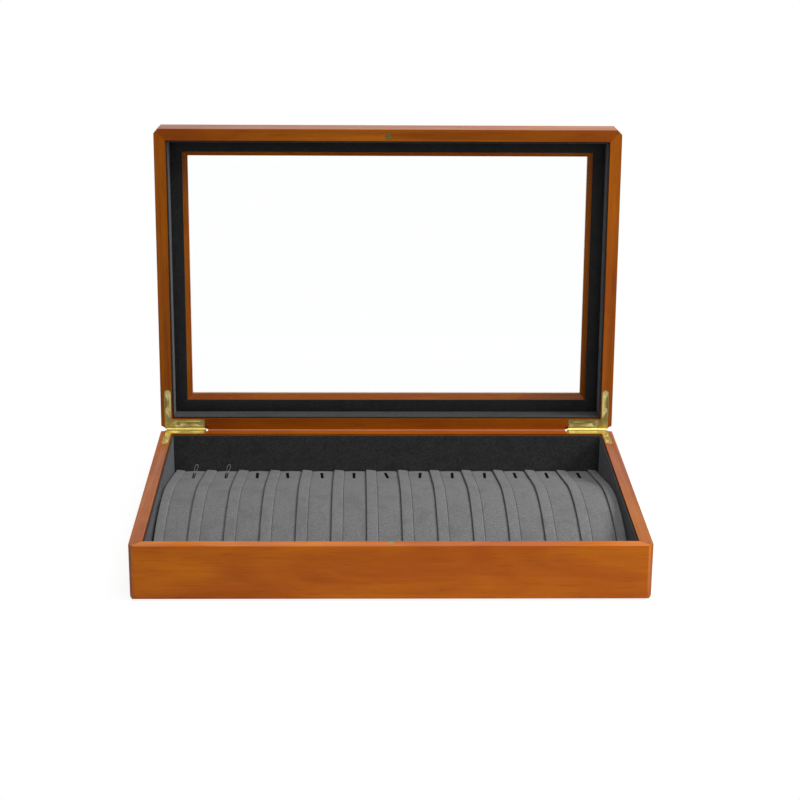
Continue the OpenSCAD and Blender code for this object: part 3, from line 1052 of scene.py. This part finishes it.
    def strip(self, outline: Sequence[tuple[float, float]]) -> bmesh.types.BMesh:
        """Sweeps an outline over the arch and down the slope, and trims it upright at both ends.

        Args:
            outline: Points as (place across, radius).

        Returns:
            A closed mesh.
        """
        centre = self.centre()
        spare = 4 * MM
        front = math.asin((self.half_depth + self.crest_y + spare) / self.arch)
        mesh = bmesh.new()
        verts = [mesh.verts.new((x, self.crest_y, centre.z + r)) for x, r in outline]
        edges = [mesh.edges.new((a, b)) for a, b in zip(verts, verts[1:] + verts[:1])]
        bmesh.ops.rotate(mesh, verts=verts, cent=centre, matrix=Matrix.Rotation(front, 3, "X"))
        swept = bmesh.ops.spin(
            mesh,
            geom=verts + edges,
            cent=centre,
            axis=(1, 0, 0),
            angle=-(front + self.slope()),
            steps=self.arch_steps,
            use_merge=False,
        )
        ring = [g for g in swept["geom_last"] if isinstance(g, bmesh.types.BMEdge)]
        run = self.half_depth - self.crest_y - self.arch * math.sin(self.slope())
        step = self.downhill() * ((run / math.cos(self.slope()) + spare) / self.slope_steps)
        for _ in range(self.slope_steps):
            ring = pull(mesh, ring, step)
        for side in (-1, 1):
            bmesh.ops.bisect_plane(
                mesh,
                geom=mesh.verts[:] + mesh.edges[:] + mesh.faces[:],
                plane_co=(0, side * self.half_depth, 0),
                plane_no=(0, side, 0),
                clear_outer=True,
            )
        open_edges = [e for e in mesh.edges if e.is_boundary]
        bmesh.ops.holes_fill(mesh, edges=open_edges, sides=0)
        bmesh.ops.recalc_face_normals(mesh, faces=mesh.faces)
        return mesh

    def cut_slit(self, mesh: bmesh.types.BMesh, place: Matrix) -> None:
        """Cuts a slit through a pad, turns its lips in and marks its walls for the near-black finish of painted
        shade.

        Args:
            mesh: Mesh of the pad.
            place: Frame of the slit.
        """
        sides = (((1, 0, 0), self.slit_width / 2), ((0, 1, 0), self.slit_length / 2))
        inverse = place.inverted()
        for way, half in sides:
            for sign in (-1, 1):
                near = [f for f in mesh.faces if abs((inverse @ f.calc_center_median()).y) < self.slit_length]
                edges = {e for f in near for e in f.edges}
                verts = {v for f in near for v in f.verts}
                bmesh.ops.bisect_plane(
                    mesh,
                    geom=list(verts) + list(edges) + near,
                    plane_co=place @ (Vector(way) * half * sign),
                    plane_no=place.to_3x3() @ Vector(way),
                )
        doomed = []
        for face in mesh.faces:
            middle = inverse @ face.calc_center_median()
            inside = abs(middle.x) < self.slit_width / 2 and abs(middle.y) < self.slit_length / 2
            if inside and abs(middle.z) < 2 * self.pad:
                doomed.append(face)
        bmesh.ops.delete(mesh, geom=doomed, context="FACES")
        lips = [e for e in mesh.edges if e.is_boundary]
        # The slit's walls take the near-black finish: painted shade standing in for the dark inside of the slit.
        walls = bmesh.ops.bridge_loops(mesh, edges=lips)["faces"]
        for wall in walls:
            wall.material_index = 1
        bmesh.ops.recalc_face_normals(mesh, faces=mesh.faces)

    def over_foot(self, point: Vector) -> tuple[float, Vector]:
        """Gives a point's height over the foot of the pads, and the way up there.

        Args:
            point: A point of a pad or rib.

        Returns:
            Height and unit vector.
        """
        arm = Vector((0, point.y - self.crest_y, point.z - self.centre().z))
        if arm.dot(self.downhill()) > 0:
            up = Vector((0, math.sin(self.slope()), math.cos(self.slope())))
            return arm.dot(up) - self.arch + self.pad, up
        return arm.length - self.arch + self.pad, arm.normalized()

    def ruffle(self, mesh: bmesh.types.BMesh, seed: float, creased: bool) -> None:
        """Gives the top of a strip the gentle unevenness of cloth over foam.

        Args:
            mesh: Mesh of the strip.
            seed: Place in the pattern.
            creased: Whether the cloth is creased in front of the slit.
        """
        shift = Vector((seed * self.seed_step, 0, 0))
        slit_front = self.slit_y - self.slit_length / 2
        for vertex in mesh.verts:
            height, up = self.over_foot(vertex.co)
            lift = min(1.0, max(0.0, height / self.pad - self.still))
            swell = sum(rise * noise.noise(vertex.co * scale + shift) for rise, scale in self.swells)
            if creased:
                for depth in self.creases.depths(vertex.co, slit_front, seed):
                    swell -= depth
            vertex.co += up * swell * lift * MM

    def paint_left_shadow(self, mesh: bmesh.types.BMesh) -> None:
        """Marks the faces of a strip that look left, but not its ends, for the near-black finish: a painted shadow
        along the tray's left edge.
        """
        leftward, end_face = -0.30, 0.9
        for face in mesh.faces:
            face.material_index = int(face.normal.x < leftward and abs(face.normal.y) < end_face)

    def build(self) -> None:
        """Makes the pads and ribs, and dresses the board."""
        cloth = Suede("grey_suede", self.grey, 0.26, 0.12, 0.5).material()
        # Near-black finish of painted shade, for the slits' walls and the left shoulder of the first rib.
        dark = PlainFinish("painted_shade_black", (0.004,) * 3, (0.006,) * 3, 400.0, 0.9).material()
        for i, skew in enumerate(self.skews, 1):
            node = f"channel_pad_{i:02d}"
            low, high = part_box(node)
            mesh = self.strip(self.section((low.x, high.x), self.arch, self.pad_shoulders, self.pad_crown))
            self.ruffle(mesh, float(i), True)
            self.cut_slit(mesh, self.at_slit(self.slit_x(i), math.radians(skew)))
            name = f"soft_channel_{i:02d}"
            piece = put_in(mesh, name, Body.BASE, cloth, [node], self.sharp, inside=dark)
        ribs = len(self.skews) + 1
        steep, gentle = self.rib_shoulders
        for i in range(1, ribs + 1):
            first = i == 1
            node = f"divider_rib_{i:02d}"
            low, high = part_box(node)
            span = (low.x + (self.side_gap if first else 0), high.x - (self.side_gap if i == ribs else 0))
            shoulders = (gentle if first else steep, gentle)
            top = self.arch + self.rise
            mesh = self.strip(self.section(span, top, shoulders, self.rib_crown, self.rib_fall))
            # The first rib's left shoulder is painted black, as painted shadow in the gap beside the card.
            if first:
                self.paint_left_shadow(mesh)
            self.ruffle(mesh, self.rib_seed + i, False)
            name = f"soft_rib_{i:02d}"
            inside = dark if first else None
            piece = put_in(mesh, name, Body.BASE, cloth, [node], self.sharp, inside=inside)
        core = PlainFinish("tray_core", (0.008, 0.008, 0.009), (0.014, 0.014, 0.015), 300.0, 0.9)
        dress("tray_board", core.material())


@dataclass
class DisplayLoops:
    """Two loops of clear wire that stand in the first slits.

    Attributes:
        tray: Tray that they stand in.
        wire: Diameter of the wire.
        wire_steps: Fineness of its round section.
        height: Height of a loop above its slit.
        spread: Width across its top.
        lean: Lean to the right.
        depth: How deep it stands.
        stem_steps: Steps up the stem.
        eye_steps: Steps round the eye.
        curve_width: Width of the eye's curve before it is scaled.
    """

    tray: RingTray
    wire: float = 0.36 * MM
    wire_steps: int = 3
    height: float = 9 * MM
    spread: float = 2.4 * MM
    lean: float = math.radians(17)
    depth: float = 7 * MM
    stem_steps: int = 6
    eye_steps: int = 40
    curve_width: float = 1.3

    def route(self, x: float) -> list[Vector]:
        """Gives the points along one loop.

        Args:
            x: Middle of the slit, left to right.

        Returns:
            Points from the bottom of the stem round the eye.
        """
        stand = self.tray.at_slit(x)
        bend = Matrix.Rotation(self.lean, 4, "Y")
        climb = [-self.depth * (1 - k / self.stem_steps) for k in range(self.stem_steps)]
        points = [Vector((0, 0, z + self.wire / 2)) for z in climb]
        for k in range(self.eye_steps + 1):
            t = k / self.eye_steps
            rise = math.sin(math.pi * t) ** 2
            out = self.spread / self.curve_width * math.sin(2 * math.pi * t) * rise
            points.append(bend @ Vector((out, 0, self.height * rise)))
        return [stand @ p for p in points]

    def build(self) -> None:
        """Makes both loops as one piece."""
        curve = bpy.data.curves.new("display_loops", "CURVE")
        curve.dimensions = "3D"
        curve.bevel_depth = self.wire / 2
        curve.bevel_resolution = self.wire_steps
        curve.use_fill_caps = True
        for i in (1, 2):
            points = self.route(self.tray.slit_x(i))
            line = curve.splines.new("POLY")
            line.points.add(len(points) - 1)
            for place, point in zip(line.points, points):
                place.co = (*point, 1.0)
        piece = add_object("display_loops", curve)
        curve.materials.append(PlainFinish("clear_wire", (0.26,) * 3, (0.44,) * 3, 900.0, 0.22).material())
        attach(piece, Body.BASE.value)
        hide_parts("wire_loops")
        LOG.info("display_loops: 2 loops on base")


@dataclass
class Hardware:
    """Hinges, screws, pins, catch discs and glass.

    Attributes:
        edge: Rounding of the leaves' edges.
        edge_steps: Faces across that rounding.
        edge_least: Length past which an edge is rounded.
        edge_turn: Angle past which an edge is rounded.
        flat_over: Area in square metres past which a leaf's face is shaded flat.
    """

    edge: float = 0.18 * MM
    edge_steps: int = 2
    edge_least: float = 2.2 * MM
    edge_turn: float = math.radians(50)
    flat_over: float = 0.12e-6

    def leaf(self, node: str, body: Body, material: bpy.types.Material) -> None:
        """Makes a hinge leaf with softened edges.

        Args:
            node: Node that it stands for.
            body: Body that it rides on.
            material: Its finish.
        """
        mesh = merged_copy(node)
        long_ones = sharp_edges(mesh, lambda edge: edge.calc_length() > self.edge_least, self.edge_turn)
        soften(mesh, long_ones, self.edge, self.edge_steps)
        put_in(mesh, f"{node}_polished", body, material, [node], flat_over=self.flat_over)

    def build(self) -> None:
        """Makes the leaves and dresses the rest."""
        brass = PolishedBrass().material()
        for side in ("left", "right"):
            self.leaf(f"base_hinge_leaf_{side}", Body.BASE, brass)
            self.leaf(f"lid_hinge_leaf_{side}", Body.LID, brass)
            dress(f"hinge_pin_{side}", brass)
        screws = PolishedBrass("screw_brass", (0.80, 0.70, 0.36), (0.55, 0.45, 0.18), 0.30).material()
        disc = PlainFinish("catch_disc", (0.42, 0.31, 0.10), (0.30, 0.22, 0.08), 900.0, 0.35, 1.0).material()
        for body in Body:
            dress(f"{body.value}_hinge_screws", screws)
            dress(f"{body.value}_magnet", disc)
        dress("glass_pane", ClearGlass().material())
        panel = PlainFinish("floor_panel", (0.36, 0.22, 0.10), (0.28, 0.16, 0.07), 60.0, 0.6)
        dress("base_floor_panel", panel.material())


@dataclass(frozen=True)
class Softbox:
    """A square lamp.

    Attributes:
        name: Name of the lamp.
        place: Where it stands.
        aim: Point that it faces.
        size: Side of the square.
        power: Power in watts.
    """

    name: str
    place: Triple
    aim: Triple
    size: float
    power: float

    def build(self) -> None:
        """Adds the lamp."""
        lamp = bpy.data.lights.new(self.name, "AREA")
        lamp.shape = "SQUARE"
        lamp.size = self.size
        lamp.energy = self.power
        holder = add_object(self.name, lamp)
        holder.location = self.place
        way = Vector(self.aim) - Vector(self.place)
        holder.rotation_euler = way.to_track_quat("-Z", "Y").to_euler()


@dataclass
class Studio:
    """White room, lamps, dark card and camera.

    Attributes:
        floor_half: Half the side of the floor.
        floor_drop: How far the floor lies below the felt, so that the two don't share a plane.
        floor_grey: Brightness of the floor as it lights the box.
        ambient: Strength of the room's own light.
        shadow_depth: How much darker the floor shows in full shadow.
        shadow_gain: Brightness that fully lit floor needs to make up for that.
        shadow_reach: Distances from the box over which that shadow fades.
        card_half: Half the width of the dark card.
        card_near: Distance of its near edge in front of the box's middle.
        card_far: Distance at which it turns up.
        card_low: How far it lies above the table.
        card_rise: How far it rises at the back.
        card_grey: Its brightness.
        lens: Focal length in millimetres.
        sensor: Width of the picture behind the lens.
        eye: Place of the camera.
        pitch: How far the camera looks down, in degrees.
        yaw: How far it is turned left, in degrees.
        roll: How far it is rolled, in degrees.
        lamps: The softboxes.
    """

    floor_half: float = 9.0
    floor_drop: float = 0.1 * MM
    floor_grey: float = 0.80
    ambient: float = 0.10
    shadow_depth: float = 0.10
    shadow_gain: float = 2.2
    shadow_reach: tuple[float, float] = (0.205, 0.26)
    card_half: float = 1.6
    card_near: float = 0.42
    card_far: float = 3.0
    card_low: float = 2 * MM
    card_rise: float = 3.0
    card_grey: float = 0.03
    lens: float = 87.8
    sensor: float = 36.0
    eye: Triple = (-0.0224, -1.3527, 0.5574)
    pitch: float = 18.438
    yaw: float = -1.270
    roll: float = -0.444
    lamps: tuple[Softbox, ...] = (
        Softbox("right_softbox", (1.25, -0.10, 0.95), (0.0, 0.0, 0.08), 0.5, 16.0),
        Softbox("top_softbox", (0.30, -0.30, 1.70), (0.0, 0.0, 0.0), 1.0, 13.0),
        Softbox("front_softbox", (0.3, -2.2, 1.1), (0.0, 0.0, 0.1), 1.2, 6.0),
    )

    def floor(self) -> None:
        """Adds a pale floor that keeps the box's soft shadow and is clear from below."""
        board = NodeBoard("pale_floor")
        own = board.add("ShaderNodeTexCoord").outputs["Object"]
        distance = board.add("ShaderNodeVectorMath", operation="LENGTH")
        board.feed(distance.inputs[0], own)
        near, far = self.shadow_reach
        share = board.fit(distance.outputs["Value"], near, far, (1.0, 0.0))
        white = board.make("ShaderNodeEmission", Strength=1.0)
        lit = board.make("ShaderNodeEmission", Strength=1.0 - self.shadow_depth)
        catch = board.make("ShaderNodeBsdfDiffuse", Color=(self.shadow_gain * self.shadow_depth,) * 3)
        shaded = board.mix(share, white, board.join("ShaderNodeAddShader", lit, catch))
        matt = board.make("ShaderNodeBsdfDiffuse", Color=(self.floor_grey,) * 3)
        above = board.mix(board.seen(), matt, shaded)
        below = board.add("ShaderNodeBsdfTransparent")
        sides = board.add("ShaderNodeNewGeometry")
        board.show(board.mix(sides.outputs["Backfacing"], above, below))
        mesh = bmesh.new()
        place = Matrix.Translation((0, 0, -self.floor_drop))
        bmesh.ops.create_grid(mesh, x_segments=1, y_segments=1, size=self.floor_half, matrix=place)
        add_mesh(mesh, "floor", board.owner)

    def dark_card(self) -> None:
        """Adds a dark card in front, which only the lacquer, glass and brass reflect."""
        board = NodeBoard("dark_card")
        board.show(board.make("ShaderNodeBsdfDiffuse", Color=(self.card_grey,) * 3))
        mesh = bmesh.new()
        ends = [mesh.verts.new((side * self.card_half, -self.card_near, self.card_low)) for side in (-1, 1)]
        edges = [mesh.edges.new(ends)]
        for move in ((0, self.card_near - self.card_far, 0), (0, 0, self.card_rise)):
            edges = pull(mesh, edges, move)
        card = add_mesh(mesh, "dark_card", board.owner)
        for way in ("camera", "diffuse", "transmission", "volume_scatter", "shadow"):
            setattr(card, f"visible_{way}", False)

    def room(self) -> None:
        """Sets a white room that gives little light of its own."""
        board = NodeBoard("white_room", world=True)
        dim = board.make("ShaderNodeBackground", Color=(1.0,) * 3, Strength=self.ambient)
        white = board.make("ShaderNodeBackground", Color=(1.0,) * 3)
        board.show(board.mix(board.seen(), dim, white))
        bpy.context.scene.world = board.owner

    def camera(self) -> None:
        """Adds the camera at the photograph's viewing place."""
        data = bpy.data.cameras.new("camera")
        data.lens = self.lens
        data.sensor_width = self.sensor
        camera = add_object("camera", data)
        look = Matrix.Rotation(math.radians(self.yaw), 4, "Z")
        look = look @ Matrix.Rotation(-math.radians(self.pitch), 4, "X")
        look = look @ Matrix.Rotation(math.radians(self.roll), 4, "Y")
        level = Matrix.Rotation(math.pi / 2, 4, "X")
        camera.matrix_world = Matrix.Translation(self.eye) @ look @ level
        bpy.context.scene.camera = camera

    def build(self) -> None:
        """Sets up the whole studio."""
        bpy.context.scene.view_settings.view_transform = "Standard"
        self.camera()
        self.floor()
        self.dark_card()
        self.room()
        for lamp in self.lamps:
            lamp.build()


def wood_frames() -> list[WoodenFrame]:
    """Gives the frames of the base and the lid with a board's finish for each side."""
    # The last number of each board scales its brightness; the front board's 1.36 is painted light from the front,
    # the others differ board by board.
    walls = (
        ("base_front_wall", "front_board", "front_wood", Grain.ACROSS, (0.3, 0.1, 0.2), 1.36),
        ("base_back_wall", "back_board", "back_wood", Grain.ACROSS, (1.7, 0.9, 0.4), 1.0),
        ("base_left_wall", "left_board", "left_wood", Grain.DEEP, (2.9, 1.3, 0.8), 0.88),
        ("base_right_wall", "right_board", "right_wood", Grain.DEEP, (4.1, 2.2, 1.1), 0.84),
    )
    rails = (
        ("lid_front_rail", "top_rail", "top_wood", Grain.ACROSS, (5.3, 0.7, 2.3), 0.80),
        ("lid_back_rail", "bottom_rail", "bottom_wood", Grain.ACROSS, (6.1, 1.9, 0.2), 0.82),
        ("lid_left_rail", "left_rail", "left_rail_wood", Grain.UPRIGHT, (7.3, 2.6, 1.7), 0.80),
        ("lid_right_rail", "right_rail", "right_rail_wood", Grain.UPRIGHT, (8.7, 0.3, 2.9), 0.92),
    )
    base, lid = (
        [
            (node, name, LacqueredWood(wood, grain, lean, shift, tone_and_painted_light))
            for node, name, wood, grain, shift, tone_and_painted_light in boards
        ]
        for boards, lean in ((walls, 0.0), (rails, LID_POSE.lean))
    )
    return [WoodenFrame(Body.BASE, base), WoodenFrame(Body.LID, lid, rim=0.0)]


def main() -> None:
    """Builds the studio and every part of the box."""
    logging.basicConfig(level=logging.INFO, format="%(name)s %(message)s")
    Studio().build()
    for wooden in wood_frames():
        wooden.build()
    LiningCards().build()
    tray = RingTray()
    tray.build()
    DisplayLoops(tray).build()
    Hardware().build()


if __name__ == "__main__":
    main()
